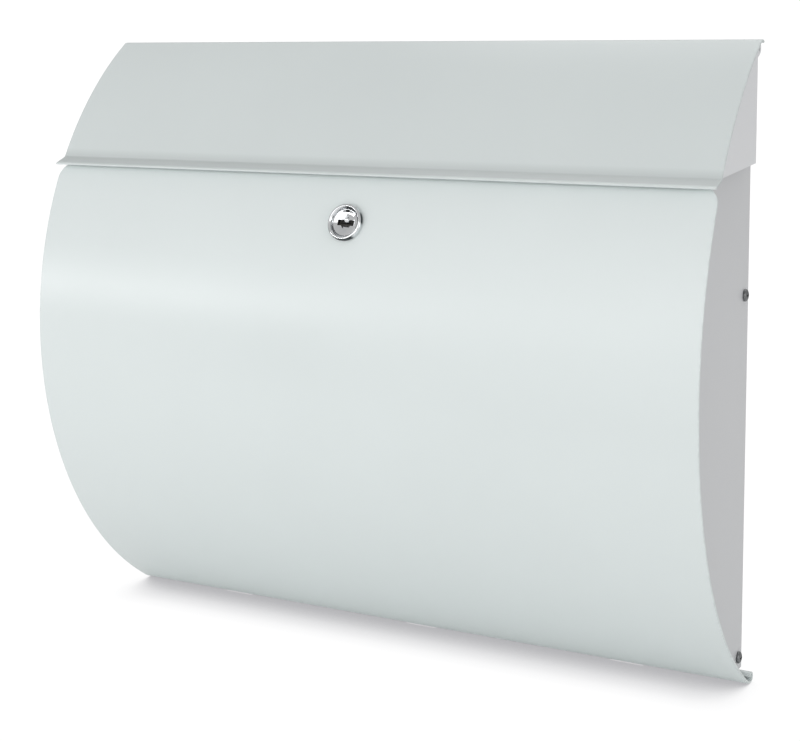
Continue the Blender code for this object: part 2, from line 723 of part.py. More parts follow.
def prism(name, sides, radius, low, high, spec, parent, where=None):
    """An upright prism or round bar about its parent's Z axis."""
    shape = bmesh.new()
    bmesh.ops.create_cone(
        shape, cap_ends=True, segments=sides, radius1=radius, radius2=radius, depth=high - low
    )
    bmesh.ops.translate(shape, verts=shape.verts, vec=(0.0, 0.0, (low + high) / 2))
    mesh = bpy.data.meshes.new(name)
    shape.to_mesh(mesh)
    shape.free()
    smooth(mesh)
    obj = add_object(name, mesh, spec, where)
    obj.parent = parent
    return obj


def lock_plug(axis):
    """The turning plug: a round body with a key slot, and a square tail for the cam."""
    plug = prism("lock_plug", 32, PLUG_RADIUS, -BARREL_LENGTH, 1.2 * MM, CHROME, axis)
    half = PLUG_TAIL / 2
    tail_end = -(CAM_DEPTH + CAM_THICKNESS + 0.2 * MM)
    tail = local_box("plug_tail", (-half, -half, tail_end), (half, half, -BARREL_LENGTH + SHEET), axis)
    boolean(plug, tail, "UNION")
    recess = prism("plug_recess", 32, 3.4 * MM, 0.5 * MM, 3 * MM, None, axis, CUTTERS)
    slot = local_box(
        "key_slot", (-4.8 * MM, -1.2 * MM, -14 * MM), (4.8 * MM, 1.2 * MM, 3 * MM), axis
    )
    bore = prism("screw_bore", 16, 1.8 * MM, tail_end - SHEET, tail_end + 6 * MM, None, axis, CUTTERS)
    for cutter in (recess, slot, bore):
        boolean(plug, cutter, "DIFFERENCE")
    return plug


def local_box(name, low, high, parent):
    made = box(name, low, high, where=CUTTERS)
    made.parent = parent
    return made


def lock_cam(axis):
    """The cam, stored unlocked: it points along +X and turns up behind the sill."""
    rounded = CAM_WIDTH / 2
    count = 8
    outline = [
        (rounded * math.sin(a), rounded * math.cos(a))
        for a in (-math.pi * i / count for i in range(count + 1))
    ]
    inset = CAM_LENGTH - CAM_CORNER
    side = rounded - CAM_CORNER
    outline += [(inset, -rounded), (CAM_LENGTH, -side), (CAM_LENGTH, side), (inset, rounded)]
    cam = flat_plate("lock_cam", outline, 0.0, CAM_THICKNESS, ZINC)
    # From the plate's own axes (x across, y and z in plane) to the lock's (z out, x and y in plane).
    cam.data.transform(Matrix(((0, 1, 0, 0), (0, 0, 1, 0), (1, 0, 0, 0), (0, 0, 0, 1))))
    cam.data.transform(Matrix.Translation((0.0, 0.0, -CAM_DEPTH - CAM_THICKNESS / 2)))
    cam.parent = axis
    half = PLUG_TAIL / 2 + GAP
    hole = local_box(
        "cam_hole", (-half, -half, -CAM_DEPTH - 2 * CAM_THICKNESS), (half, half, -CAM_DEPTH + SHEET), axis
    )
    boolean(cam, hole, "DIFFERENCE")
    return cam


def cam_screw(axis):
    head = -(CAM_DEPTH + CAM_THICKNESS + 0.5 * MM)
    profile = [
        (0.0, head + 5 * MM),
        (1.4 * MM, head + 5 * MM),
        (1.4 * MM, head),
        (4.5 * MM, head),
        (4.5 * MM, head - 1.4 * MM),
        (3.6 * MM, head - 2.2 * MM),
        (0.0, head - 2.2 * MM),
    ]
    return turned("cam_screw", profile, ZINC, axis, steps=20)


def build():
    back_panel()
    side_panel("left_side_panel", -1)
    side_panel("right_side_panel", 1)
    slot_sill()
    hinge_rod("lid_hinge_rod", LID_AXIS)
    hinge_rod("door_hinge_rod", DOOR_AXIS)
    for hand, side in (("left", -1), ("right", 1)):
        for place, z in SCREW_HEIGHTS.items():
            pan_head_screw(f"{place}_{hand}_screw", side, z)
        stop_stud(f"stop_stud_{hand}", side)
        lid_cheek(f"lid_cheek_{hand}", side)
        stop_arm(f"door_stop_arm_{hand}", side)
    lid_panel()
    door_panel()
    axis = lock_axis()
    lock_barrel(axis)
    lock_nut(axis)
    lock_plug(axis)
    lock_cam(axis)
    cam_screw(axis)


clear_scene()
PARTS = collection("wall_mailbox")
CUTTERS = collection("cutters")
build()
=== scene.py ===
"""The looks of the wall-mounted letter box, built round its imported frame. Metres throughout.

+Y runs into the wall and the front faces -Y. Every sheet, rod and lock piece that shows is modelled
again here as a finer mesh with rounded edges, in the place where the frame has its node.
"""

import json
import math

import bmesh
import bpy
from mathutils import Matrix, Vector


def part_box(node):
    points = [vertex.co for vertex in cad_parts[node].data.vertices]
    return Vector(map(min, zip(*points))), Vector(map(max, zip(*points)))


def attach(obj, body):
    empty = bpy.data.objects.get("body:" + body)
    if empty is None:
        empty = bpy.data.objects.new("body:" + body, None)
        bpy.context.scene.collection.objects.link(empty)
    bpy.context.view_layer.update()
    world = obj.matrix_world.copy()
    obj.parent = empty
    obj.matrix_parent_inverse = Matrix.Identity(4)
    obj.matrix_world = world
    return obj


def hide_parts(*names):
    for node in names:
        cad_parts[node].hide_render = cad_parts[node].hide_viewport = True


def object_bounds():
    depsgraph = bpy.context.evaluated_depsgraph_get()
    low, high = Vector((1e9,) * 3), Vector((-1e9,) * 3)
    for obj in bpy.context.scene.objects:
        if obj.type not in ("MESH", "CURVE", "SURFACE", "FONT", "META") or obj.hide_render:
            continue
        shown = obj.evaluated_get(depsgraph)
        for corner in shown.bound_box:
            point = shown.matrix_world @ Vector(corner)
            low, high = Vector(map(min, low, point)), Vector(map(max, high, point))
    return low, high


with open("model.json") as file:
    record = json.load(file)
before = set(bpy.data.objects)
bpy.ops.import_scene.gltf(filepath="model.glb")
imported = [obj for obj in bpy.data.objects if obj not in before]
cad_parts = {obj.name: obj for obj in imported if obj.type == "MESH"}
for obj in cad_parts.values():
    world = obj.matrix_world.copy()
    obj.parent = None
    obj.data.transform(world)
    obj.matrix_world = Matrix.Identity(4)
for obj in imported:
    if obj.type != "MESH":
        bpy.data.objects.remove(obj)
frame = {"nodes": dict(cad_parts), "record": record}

MM = 0.001
CAD_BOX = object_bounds()
JOINTS = {joint["name"]: joint for joint in frame["record"]["behaviour"]["joints"]}

# The sheets: one cylinder about an axis along X carries the lid and the door
SHEET = 1.0 * MM
FRONT_RADIUS = 190.0 * MM
MID_RADIUS = FRONT_RADIUS - SHEET / 2
EDGE_ROUND = 0.28 * MM
ARC_STEP = math.radians(0.75)
BEND_STEP = math.radians(7.5)

DOOR_LOW, DOOR_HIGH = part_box("door_panel")
LID_LOW, LID_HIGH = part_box("lid_panel")
AXIS_Y = DOOR_LOW[1] + FRONT_RADIUS
LID_ROD = tuple(JOINTS["lid_hinge"]["pos_m"][1:])
DOOR_ROD = tuple(JOINTS["door_hinge"]["pos_m"][1:])
LOCK_FACE = tuple(JOINTS["lock_turn"]["pos_m"][1:])
LOCK_ANGLE = math.asin(LOCK_FACE[1] / FRONT_RADIUS)

LID_BEND = LID_HIGH[2] - LID_ROD[1]
LID_EDGE_ANGLE = math.radians(50.0)
LIP_BEND = 2.5 * MM
LIP_ROOT_Z = 98.6 * MM
LIP_TIP_INSET = (0.25 * MM, 0.45 * MM)  # from the lid's box to the end of its middle line
LIP_ROWS = (0.12, 0.25, 0.4)  # extra rows of points on the lip, as shares of its width
# reaches of the lip's painted shade: its fade into the lid above it, and the bare strip along the lip's edge
LIP_SHADE_FADE = 1.3 * MM
LIP_UNSHADED_EDGE = 0.9 * MM
DOOR_BEND = 3.0 * MM
DOOR_FLANGE_END_Y = -50.0 * MM
DOOR_CORNER_Z = -157.6 * MM
DOOR_CORNER_BEND = 2.0 * MM
DOOR_CORNER_RUN = 2.5 * MM
DOOR_TOP_CORNER = 9.5 * MM
CORNER_STEP = math.radians(0.15)
CURL_RADIUS = 2.1 * MM
CURL_TURN = math.radians(262.0)
KNUCKLE_PLACES = (-120.0 * MM, 0.0, 120.0 * MM)
NOTCH_HALF_WIDTH = 9.0 * MM
NOTCH_HALF_HEIGHT = 5.2 * MM
NOTCH_FRONT = 3.2 * MM  # in front of the rod's axis
NOTCH_BACK_Y = 2.0 * MM  # past the wall face
LOCK_HOLE_RADIUS = 8.4 * MM
RIM_REACH = 0.9 * MM
SHARP_EDGE = math.radians(40.0)
TURNED_SHARP_EDGE = math.radians(38.0)
MERGE_DISTANCE = 0.002 * MM
EDGE_COLUMNS = (0.0, 0.9 * MM, 1.8 * MM, 4.0 * MM)


# Outlines in the YZ plane, as lists of (y, z)


def on_front(radius, angle):
    """A point of the front's cylinder. The angle is measured upwards from straight ahead."""
    return (AXIS_Y - radius * math.cos(angle), radius * math.sin(angle))


def front_angle(radius, z):
    return math.asin(z / radius)


def front_arc(radius, start, end, step=ARC_STEP):
    steps = max(1, math.ceil(abs(end - start) / step))
    return [on_front(radius, start + (end - start) * i / steps) for i in range(steps + 1)]


def circle_arc(centre, radius, start, end, step=BEND_STEP):
    """Points on a small bend. Angles run from +Y towards +Z."""
    steps = max(1, math.ceil(abs(end - start) / step))
    angles = [start + (end - start) * i / steps for i in range(steps + 1)]
    return [(centre[0] + radius * math.cos(a), centre[1] + radius * math.sin(a)) for a in angles]


def rounded_corner(before, corner, after, radius):
    """The bend that replaces a sharp corner between two straight runs."""
    a = (Vector(before) - Vector(corner)).normalized()
    b = (Vector(after) - Vector(corner)).normalized()
    half = a.angle(b) / 2
    centre = Vector(corner) + (a + b).normalized() * (radius / math.sin(half))
    start = Vector(corner) + a * (radius / math.tan(half)) - centre
    end = Vector(corner) + b * (radius / math.tan(half)) - centre
    first = math.atan2(start.y, start.x)
    turn = math.atan2(start.x * end.y - start.y * end.x, start.dot(end))
    return circle_arc(tuple(centre), radius, first, first + turn)


# Materials


class Nodes:
    """Short calls for building one material's nodes."""

    def __init__(self, name):
        self.material = bpy.data.materials.new(name)
        self.material.use_nodes = True
        self.tree = self.material.node_tree
        self.shader = self.tree.nodes["Principled BSDF"]
        self.place = self.add("ShaderNodeTexCoord").outputs["Object"]

    def add(self, kind, **settings):
        node = self.tree.nodes.new(kind)
        for key, value in settings.items():
            setattr(node, key, value)
        return node

    def link(self, source, target):
        self.tree.links.new(source, target)

    def noise(self, scale, detail=2.0, roughness=0.5, stretch=None):
        node = self.add("ShaderNodeTexNoise")
        node.inputs["Scale"].default_value = scale
        node.inputs["Detail"].default_value = detail
        node.inputs["Roughness"].default_value = roughness
        if stretch:
            mapping = self.add("ShaderNodeMapping")
            mapping.inputs["Scale"].default_value = stretch
            self.link(self.place, mapping.inputs["Vector"])
            self.link(mapping.outputs["Vector"], node.inputs["Vector"])
        else:
            self.link(self.place, node.inputs["Vector"])
        return node.outputs["Fac"]

    def ramp(self, source, stops):
        node = self.add("ShaderNodeValToRGB")
        ramp = node.color_ramp
        while len(ramp.elements) < len(stops):
            ramp.elements.new(0.5)
        for element, (position, colour) in zip(ramp.elements, stops):
            element.position = position
            element.color = (*colour, 1.0)
        self.link(source, node.inputs["Fac"])
        return node.outputs["Color"]

    def spread(self, source, low, high, start=0.3, end=0.7):
        node = self.add("ShaderNodeMapRange")
        node.inputs["From Min"].default_value = start
        node.inputs["From Max"].default_value = end
        node.inputs["To Min"].default_value = low
        node.inputs["To Max"].default_value = high
        self.link(source, node.inputs["Value"])
        return node.outputs["Result"]

    def attribute(self, name):
        return self.add("ShaderNodeAttribute", attribute_name=name).outputs["Fac"]

    def mix(self, factor, first, second):
        node = self.add("ShaderNodeMix", data_type="RGBA")
        self.link(factor, node.inputs["Factor"])
        for socket, value in ((node.inputs["A"], first), (node.inputs["B"], second)):
            if isinstance(value, tuple):
                socket.default_value = (*value, 1.0)
            else:
                self.link(value, socket)
        return node.outputs["Result"]

    def bump(self, height, strength, distance, before=None):
        node = self.add("ShaderNodeBump")
        node.inputs["Strength"].default_value = strength
        node.inputs["Distance"].default_value = distance
        self.link(height, node.inputs["Height"])
        if before:
            self.link(before, node.inputs["Normal"])
        return node.outputs["Normal"]

    def finish(self, **sockets):
        for name, value in sockets.items():
            socket = self.shader.inputs[name.replace("_", " ")]
            if isinstance(value, bpy.types.NodeSocket):
                self.link(value, socket)
            else:
                socket.default_value = value
        return self.material


def scaled(colour, share):
    return tuple(channel * share for channel in colour)


def powder_coat(name, colour, gloss):
    """Satin powder coat: fine orange peel, faint clouding, thinner along cut edges, painted shade on the
    lip's upper face.
    """
    nodes = Nodes(name)
    clouds = nodes.ramp(
        nodes.noise(9.0, 3.0),
        ((0.1, scaled(colour, 0.975)), (0.9, scaled(colour, 1.02))),
    )
    specks = nodes.spread(nodes.noise(2600.0, 1.0), 0.0, 0.10, 0.66, 0.8)
    coat = nodes.mix(specks, clouds, scaled(colour, 0.82))
    worn = nodes.add("ShaderNodeMath", operation="MULTIPLY")
    nodes.link(nodes.attribute("rim"), worn.inputs[0])
    nodes.link(nodes.spread(nodes.noise(260.0, 4.0), 0.05, 0.5, 0.35, 0.7), worn.inputs[1])
    coat = nodes.mix(worn.outputs["Value"], coat, scaled(colour, 0.68))
    # painted shade on the lip's upper face, fading out in the bend above it
    coat = nodes.mix(nodes.attribute("lip_tone"), coat, scaled(colour, 0.79))
    peel = nodes.bump(nodes.noise(620.0, 2.0), 0.16, 0.05 * MM)
    grit = nodes.bump(nodes.noise(3400.0, 1.0), 0.06, 0.02 * MM, peel)
    rough = nodes.spread(nodes.noise(14.0, 4.0), gloss - 0.04, gloss + 0.05, 0.1, 0.9)
    return nodes.finish(Base_Color=coat, Roughness=rough, Normal=grit, Specular_IOR_Level=0.45)


def plated(name, colour, gloss, grain):
    """Zinc-plated or blackened steel: a mottled plate with a rolled grain."""
    nodes = Nodes(name)
    mottle = nodes.ramp(
        nodes.noise(420.0, 4.0, 0.6),
        ((0.3, scaled(colour, 0.80)), (0.55, colour), (0.75, scaled(colour, 1.18))),
    )
    rolled = nodes.noise(300.0, 2.0, 0.5, stretch=grain)
    rough = nodes.spread(nodes.noise(700.0, 3.0), gloss - 0.08, gloss + 0.12)
    marks = nodes.bump(rolled, 0.12, 0.04 * MM)
    return nodes.finish(Base_Color=mottle, Metallic=1.0, Roughness=rough, Normal=marks)


def chrome(name):
    """Polished chrome plate with hairline handling marks, and the painted dark reflections of
    mark_dark_arcs.
    """
    nodes = Nodes(name)
    tone = nodes.ramp(
        nodes.noise(160.0, 3.0),
        ((0.3, (0.80, 0.82, 0.84)), (0.7, (0.90, 0.91, 0.92))),
    )
    hairs = nodes.noise(900.0, 3.0, 0.6, stretch=(1.0, 7.0, 1.0))
    rough = nodes.spread(hairs, 0.04, 0.13, 0.45, 0.75)
    tone = nodes.mix(nodes.attribute("dark_arc"), tone, (0.05, 0.06, 0.065))
    marks = nodes.bump(hairs, 0.03, 0.01 * MM)
    return nodes.finish(Base_Color=tone, Metallic=1.0, Roughness=rough, Normal=marks)


def dark_metal(name):
    """Blackened brass of the keyway's shutter."""
    nodes = Nodes(name)
    tone = nodes.ramp(
        nodes.noise(800.0, 3.0),
        ((0.3, (0.018, 0.018, 0.020)), (0.7, (0.06, 0.058, 0.052))),
    )
    rough = nodes.spread(nodes.noise(1500.0, 2.0), 0.25, 0.5)
    return nodes.finish(Base_Color=tone, Metallic=0.9, Roughness=rough)


# The lid, the sides and the cheeks carry shaded copies of the one white powder coat, each with painted shade
# in a coat tone of its own, set to suit this studio's light
COAT = (0.773, 0.828, 0.824)
SIDE_SHADED_COAT = (0.76, 0.77, 0.785)
WHITE = powder_coat("white_powder_coat", COAT, 0.30)
LID_SHADED_WHITE = powder_coat("white_powder_coat_lid", scaled(COAT, 0.91), 0.32)
SIDE_SHADED_WHITE = powder_coat("white_powder_coat_sides", scaled(SIDE_SHADED_COAT, 0.82), 0.34)
CHEEK_SHADED_WHITE = powder_coat("white_powder_coat_cheeks", scaled(SIDE_SHADED_COAT, 1.02), 0.34)
ZINC = plated("zinc_plate", (0.60, 0.61, 0.62), 0.32, (0.05, 1.0, 1.0))
SCREW_STEEL = plated("blackened_screw_steel", (0.23, 0.235, 0.24), 0.36, (1.0, 1.0, 1.0))
CHROME = chrome("chrome_plate")
SHUTTER = dark_metal("dark_shutter")


# Meshes


def linked(name, mesh, material):
    obj = bpy.data.objects.new(name, mesh)
    bpy.context.scene.collection.objects.link(obj)
    mesh.materials.append(material)
    return obj


def settle(obj):
    """Replaces an object's mesh with what its modifiers make of it."""
    bpy.context.view_layer.update()
    graph = bpy.context.evaluated_depsgraph_get()
    mesh = bpy.data.meshes.new_from_object(obj.evaluated_get(graph))
    obj.modifiers.clear()
    obj.data = mesh
    return obj


def round_edges(obj, width=EDGE_ROUND, angle=50.0, segments=2):
    bevel = obj.modifiers.new("rounded edges", "BEVEL")
    bevel.width = width
    bevel.segments = segments
    bevel.limit_method = "ANGLE"
    bevel.angle_limit = math.radians(angle)
    bevel.use_clamp_overlap = True
    settle(obj)
    obj.data.shade_smooth()
    obj.data.set_sharp_from_angle(angle=SHARP_EDGE)
    weighted = obj.modifiers.new("flat faces stay flat", "WEIGHTED_NORMAL")
    weighted.mode = "FACE_AREA"
    weighted.weight = 100
    weighted.keep_sharp = True
    settle(obj)


def cut(obj, *cutters):
    for cutter in cutters:
        modifier = obj.modifiers.new("cut", "BOOLEAN")
        modifier.operation = "DIFFERENCE"
        modifier.object = cutter
        modifier.solver = "EXACT"
    settle(obj)
    for cutter in cutters:
        bpy.data.objects.remove(cutter)


def from_bmesh(name, shape, material):
    bmesh.ops.recalc_face_normals(shape, faces=shape.faces)
    mesh = bpy.data.meshes.new(name)
    shape.to_mesh(mesh)
    shape.free()
    return linked(name, mesh, material)


def columns_across(half, count=16):
    """Places across a sheet, with three narrow columns beside each edge for the worn rim."""
    inner = half - EDGE_COLUMNS[-1]
    middle = [inner * (2 * i / count - 1) for i in range(count + 1)]
    left = [-half + step for step in EDGE_COLUMNS[:-1]]
    right = [half - step for step in EDGE_COLUMNS[-2::-1]]
    return left + middle + right


def bent_sheet(name, path, half_widths, material):
    """A sheet bent along a path in the YZ plane. Each point of the path has its own half-width in X."""
    shape = bmesh.new()
    rows = []
    for (y, z), half in zip(path, half_widths):
        rows.append([shape.verts.new((x, y, z)) for x in columns_across(half)])
    for lower, upper in zip(rows, rows[1:]):
        for i in range(len(lower) - 1):
            shape.faces.new((lower[i], lower[i + 1], upper[i + 1], upper[i]))
    obj = from_bmesh(name, shape, material)
    solidify = obj.modifiers.new("thickness", "SOLIDIFY")
    solidify.thickness = SHEET
    solidify.offset = 0.0
    solidify.use_even_offset = True
    return settle(obj)


def box(name, low, high, material):
    shape = bmesh.new()
    bmesh.ops.create_cube(shape, size=1.0)
    low, high = Vector(low), Vector(high)
    bmesh.ops.scale(shape, verts=shape.verts, vec=high - low)
    bmesh.ops.translate(shape, verts=shape.verts, vec=(low + high) / 2)
    return from_bmesh(name, shape, material)


def turned(name, profile, material, place, steps=96):
    """A turned shape. The profile runs (radius, height) down its outer side, about the place's Z axis."""
    shape = bmesh.new()
    points = [shape.verts.new((r, 0.0, h)) for r, h in profile]
    edges = [shape.edges.new(pair) for pair in zip(points, points[1:])]
    bmesh.ops.spin(
        shape,
        geom=points + edges,
        cent=(0, 0, 0),
        axis=(0, 0, 1),
        angle=math.tau,
        steps=steps,
        use_merge=True,
    )
    bmesh.ops.remove_doubles(shape, verts=shape.verts, dist=MERGE_DISTANCE)
    bmesh.ops.transform(shape, matrix=place, verts=shape.verts)
    obj = from_bmesh(name, shape, material)
    obj.data.shade_smooth()
    obj.data.set_sharp_from_angle(angle=TURNED_SHARP_EDGE)
    return obj


def refined(name, material, width=EDGE_ROUND, segments=2):
    """A copy of a frame node with its flat faces made whole and its edges rounded."""
    source = frame["nodes"][name]
    shape = bmesh.new()
    shape.from_mesh(source.data)
    shape.transform(source.matrix_world)
    bmesh.ops.remove_doubles(shape, verts=shape.verts, dist=MERGE_DISTANCE)
    bmesh.ops.dissolve_limit(
        shape, angle_limit=math.radians(0.4), verts=shape.verts, edges=shape.edges
    )
    obj = from_bmesh("fine_" + name, shape, material)
    round_edges(obj, width, 40.0, segments)
    return obj


def mark_rim(obj):
    """A point attribute that is 1 on the sheet's cut side edges and fades over a short reach."""
    mesh = obj.data
    rim = mesh.attributes.new("rim", "FLOAT", "POINT")
    edge = max(v.co.x for v in mesh.vertices)
    for vertex, value in zip(mesh.vertices, rim.data):
        value.value = max(0.0, 1.0 - (edge - abs(vertex.co.x)) / RIM_REACH)


def mark_lip_painted_shade(obj, tip, root):
    """A point attribute for painted shade on the lip's upper face: 1 on the lip, 0 at its edge and above it.
    """
    tone = obj.data.attributes.new("lip_tone", "FLOAT", "POINT")
    across = Vector(tip) - Vector(root)
    width = across.length
    across.normalize()
    for vertex, value in zip(obj.data.vertices, tone.data):
        offset = Vector((vertex.co.y, vertex.co.z)) - Vector(root)
        if offset.length >= width + 2 * MM:
            continue
        out = offset.dot(across)
        above = (out + LIP_SHADE_FADE) / LIP_SHADE_FADE
        beside = (width - out - LIP_UNSHADED_EDGE) / LIP_UNSHADED_EDGE
        value.value = min(1.0, max(0.0, above), max(0.0, beside))


def put(obj, body, *nodes):
    """The piece moves with a body and stands for these nodes."""
    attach(obj, body)
    if nodes:
        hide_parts(*nodes)
    return obj


# Lid


def make_lid():
    tip = (LID_LOW[1] + LIP_TIP_INSET[0], LID_LOW[2] + LIP_TIP_INSET[1])
    root = on_front(MID_RADIUS, front_angle(MID_RADIUS, LIP_ROOT_Z))
    start_angle = front_angle(MID_RADIUS, LIP_ROOT_Z + LIP_BEND)
    start = on_front(MID_RADIUS, start_angle)
    bend_angle = math.asin(LID_ROD[1] / (FRONT_RADIUS - LID_BEND))
    path = [tip] + [tuple(Vector(tip).lerp(Vector(root), share)) for share in LIP_ROWS]
    path += rounded_corner(tip, root, start, LIP_BEND)
    path += front_arc(MID_RADIUS, start_angle, bend_angle)[1:]
    path += circle_arc(LID_ROD, LID_BEND - SHEET / 2, math.pi - bend_angle, LID_EDGE_ANGLE)[1:]
    lid = bent_sheet("lid_sheet", path, [LID_HIGH[0]] * len(path), LID_SHADED_WHITE)
    round_edges(lid)
    mark_rim(lid)
    mark_lip_painted_shade(lid, tip, root)
    put(lid, "lid", "lid_panel")
    for hand in ("left", "right"):
        node = f"lid_cheek_{hand}"
        put(refined(node, CHEEK_SHADED_WHITE), "lid", node)


# Door


def door_path():
    """The door's middle line from the end of its top flange to the end of its rolled edge."""
    flange_z = DOOR_HIGH[2] - SHEET / 2
    bend_angle = front_angle(MID_RADIUS - DOOR_BEND, flange_z - DOOR_BEND)
    bend_centre = on_front(MID_RADIUS - DOOR_BEND, bend_angle)
    top = [(DOOR_FLANGE_END_Y, flange_z)]
    top += circle_arc(bend_centre, DOOR_BEND, math.pi / 2, math.pi - bend_angle, BEND_STEP / 2)
    corner_angle = front_angle(MID_RADIUS, DOOR_CORNER_Z)
    corner = on_front(MID_RADIUS, corner_angle)
    corner_end = bend_angle - DOOR_TOP_CORNER / MID_RADIUS
    arc = front_arc(MID_RADIUS, bend_angle, corner_end, CORNER_STEP)
    arc += front_arc(MID_RADIUS, corner_end, corner_angle + DOOR_CORNER_RUN / MID_RADIUS)[1:]
    to_corner = Vector(corner) - Vector(DOOR_ROD)
    touch = math.atan2(to_corner.y, to_corner.x) + math.acos(CURL_RADIUS / to_corner.length)
    curl = circle_arc(DOOR_ROD, CURL_RADIUS, touch, touch + CURL_TURN, 2 * BEND_STEP)
    foot = rounded_corner(arc[-1], corner, curl[0], DOOR_CORNER_BEND)
    return top + arc[1:] + foot + curl


def corner_widths(path, full):
    """Half-widths that round the door's two top corners. The flange is as narrow as the corners leave it."""
    widths = []
    along = 0.0
    for i, point in enumerate(path):
        if i > 1:
            along += (Vector(point) - Vector(path[i - 1])).length
        short = max(0.0, DOOR_TOP_CORNER - along)
        widths.append(full - DOOR_TOP_CORNER + math.sqrt(DOOR_TOP_CORNER**2 - short**2))
    return widths


def make_door():
    path = door_path()
    door = bent_sheet("door_sheet", path, corner_widths(path, DOOR_HIGH[0]), WHITE)
    round_edges(door)
    cutters = []
    for x in KNUCKLE_PLACES:
        low = (x - NOTCH_HALF_WIDTH, DOOR_ROD[0] - NOTCH_FRONT, DOOR_ROD[1] - NOTCH_HALF_HEIGHT)
        high = (x + NOTCH_HALF_WIDTH, NOTCH_BACK_Y, DOOR_ROD[1] + NOTCH_HALF_HEIGHT)
        cutters.append(box("notch", low, high, WHITE))
    hole = turned(
        "hole",
        [(0, 3 * MM), (LOCK_HOLE_RADIUS, 3 * MM), (LOCK_HOLE_RADIUS, -6 * MM), (0, -6 * MM)],
        WHITE,
        lock_place(),
        48,
    )
    cut(door, hole, *cutters)
    door.data.shade_smooth()
    door.data.set_sharp_from_angle(angle=SHARP_EDGE)
    mark_rim(door)
    put(door, "door", "door_panel")
    for hand in ("left", "right"):
        node = f"door_stop_arm_{hand}"
        put(refined(node, ZINC), "door", node)


# Box


ROD_CHAMFER = 0.3 * MM
SCREW_HEAD_HEIGHT = 1.7 * MM
SCREW_RIM = 0.45 * MM  # height of the head's upright rim
SCREW_SHANK = 1.4 * MM
THREAD_PITCH = 0.6 * MM
THREAD_DEPTH = 0.25 * MM
CROSS_LONG = 3.3 * MM
CROSS_WIDE = 0.75 * MM
CROSS_FLOOR = 0.7 * MM
CUT_ABOVE = 3.0 * MM  # how far the recess cutters reach past the head
SMALL_EDGE = 0.12 * MM


def make_box():
    for node in ("back_panel", "left_side_panel", "right_side_panel", "slot_sill"):
        put(refined(node, SIDE_SHADED_WHITE if "side" in node else WHITE), "box", node)
    for node in ("lid_hinge_rod", "door_hinge_rod"):
        make_rod(node)
    for hand, side in (("left", -1), ("right", 1)):
        for row in ("upper", "lower"):
            make_screw(f"{row}_{hand}_screw", side)
        node = f"stop_stud_{hand}"
        put(refined(node, ZINC, SMALL_EDGE), "box", node)


def make_rod(node):
    low, high = (Vector(corner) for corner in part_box(node))
    radius = (high.z - low.z) / 2
    half = (high.x - low.x) / 2
    profile = [
        (0.0, half),
        (radius - ROD_CHAMFER, half),
        (radius, half - ROD_CHAMFER),
        (radius, -half + ROD_CHAMFER),
        (radius - ROD_CHAMFER, -half),
        (0.0, -half),
    ]
    centre = (low + high) / 2
    place = Matrix.Translation(centre) @ Matrix.Rotation(math.pi / 2, 4, "Y")
    put(turned("fine_" + node, profile, ZINC, place, 32), "box", node)


def make_screw(node, side):
    """A pan-head screw with a cross recess and a threaded shank."""
    low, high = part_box(node)
    radius = (high[2] - low[2]) / 2
    outer = high[0] if side > 0 else low[0]
    foot = SCREW_HEAD_HEIGHT
    length = high[0] - low[0]
    centre = Vector((outer - side * foot, (low[1] + high[1]) / 2, (low[2] + high[2]) / 2))
    turn = Vector((side, 0, 0)).to_track_quat("Z", "Y").to_matrix().to_4x4()
    place = Matrix.Translation(centre) @ turn
    profile = [
        (radius * math.sin(a), SCREW_RIM + (foot - SCREW_RIM) * math.cos(a))
        for a in (BEND_STEP * i for i in range(13))
    ]
    profile += [(radius, SMALL_EDGE), (radius - SMALL_EDGE, 0.0), (SCREW_SHANK, 0.0)]
    threads = int((length - foot - 1.0 * MM) / THREAD_PITCH)
    for i in range(threads):
        profile.append((SCREW_SHANK, -THREAD_PITCH * i))
        profile.append((SCREW_SHANK - THREAD_DEPTH, -THREAD_PITCH * (i + 0.5)))
    profile.append((0.0, foot - length))
    screw = turned("fine_" + node, profile, SCREW_STEEL, place, 48)
    cutters = []
    for wide, tall in ((CROSS_LONG, CROSS_WIDE), (CROSS_WIDE, CROSS_LONG)):
        low_corner = (-wide / 2, -tall / 2, CROSS_FLOOR)
        recess = box("recess", low_corner, (wide / 2, tall / 2, CUT_ABOVE), SCREW_STEEL)
        recess.data.transform(place)
        cutters.append(recess)
    cut(screw, *cutters)
    screw.data.set_sharp_from_angle(angle=TURNED_SHARP_EDGE)
    put(screw, "box", node)


# Lock


def lock_place():
    """Z out of the lock, Y up, X to the right, from the middle of the door's outer face."""
    return Matrix.Translation((0.0, *LOCK_FACE)) @ Matrix.Rotation(math.pi / 2 - LOCK_ANGLE, 4, "X")


BARREL_LENGTH = 20.0 * MM
BARREL_RADIUS = 8.1 * MM
BARREL_BORE = 6.9 * MM
BEZEL_RADIUS = 9.3 * MM
BEZEL_HEIGHT = 2.7 * MM
BEZEL_ROLL = 1.0 * MM  # radius of the head's outer rim
DISH_RADIUS = 7.5 * MM  # where the flat crown turns down to the plug
PLUG_RADIUS = 6.5 * MM
PLUG_FACE = 6.8 * MM
PLUG_FACE_DEPTH = 2.0 * MM
